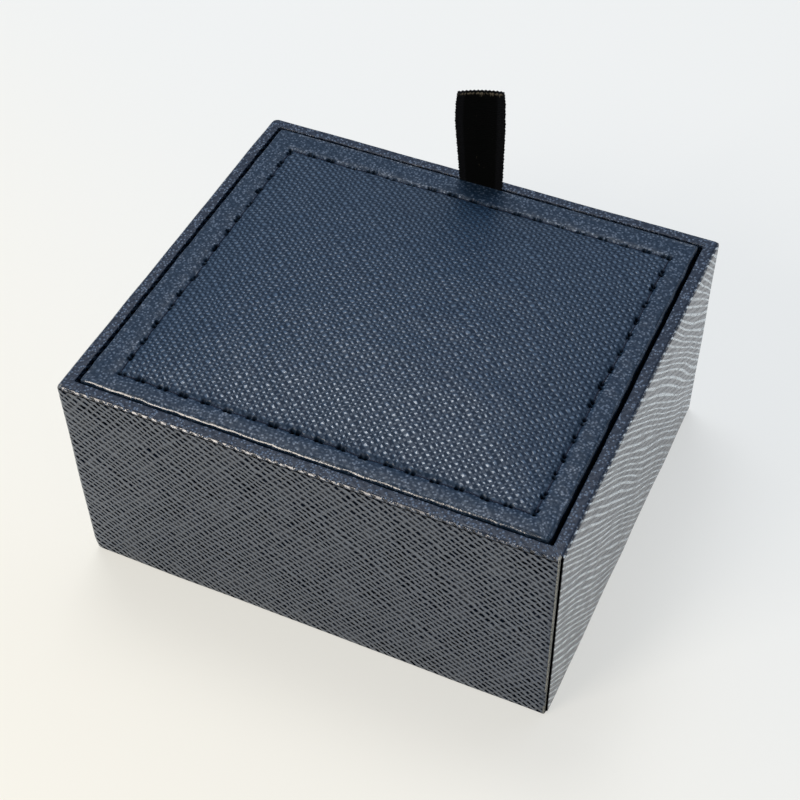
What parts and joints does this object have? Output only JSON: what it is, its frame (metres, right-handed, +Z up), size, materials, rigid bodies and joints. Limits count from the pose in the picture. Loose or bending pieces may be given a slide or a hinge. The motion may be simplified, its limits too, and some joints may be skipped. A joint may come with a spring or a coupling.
{
  "type": "cufflink display box",
  "caption": "Small board box wrapped in leatherette, with a hinged padded lid let into its rim, a ribbon pull and a slotted velvet pad for cufflinks.",
  "frame": {"origin": "middle of the base, on the surface that the box stands on", "axes": "+X along the hinge, to the right as seen from the hinge side, +Y from the hinge side to the ribbon side, +Z up"},
  "size_m": [0.082, 0.072, 0.0592],
  "materials": {
    "leatherette": "satin, cross-hatch grain",
    "greyboard": "raw board",
    "cover_paper": "matte black paper",
    "velvet": "short black pile",
    "foam": "open-cell foam",
    "hinge_cloth": "woven bookbinding cloth",
    "thread": "twisted polyester",
    "ribbon": "ribbed ribbon"
  },
  "bodies": {
    "box": {"base_board": "greyboard", "bottom_cover": "cover_paper", "wall_board_front": "greyboard", "wall_board_back": "greyboard", "wall_board_left": "greyboard", "wall_board_right": "greyboard", "outer_wrap": "leatherette", "liner_board_front": "greyboard", "liner_board_back": "greyboard", "liner_board_left": "greyboard", "liner_board_right": "greyboard", "liner_velvet": "velvet", "insert_board": "greyboard", "insert_foam": "foam", "insert_cover": "velvet", "insert_riser_left": "greyboard", "insert_riser_right": "greyboard", "hinge_tape_wall": "hinge_cloth"},
    "lid": {"lid_board": "greyboard", "lid_foam": "foam", "lid_cover": "leatherette", "lid_stitching": "thread", "lid_lining_card": "greyboard", "lid_lining_velvet": "velvet", "hinge_tape_lid": "hinge_cloth", "ribbon_anchor": "ribbon"},
    "pull_tab": {"pull_ribbon": "ribbon"}
  },
  "joints": [
    {"name": "lid_hinge", "type": "hinge", "parent": "box", "child": "lid", "pos_m": [0, -0.0335, 0.04], "axis": [1, 0, 0], "range_deg": [0, 100]},
    {"name": "tab_flex", "type": "hinge", "parent": "lid", "child": "pull_tab", "pos_m": [0, 0.03332, 0.0406], "axis": [1, 0, 0], "range_deg": [-75, 75], "stiffness_Nm_per_rad": 0.00005}
  ]
}
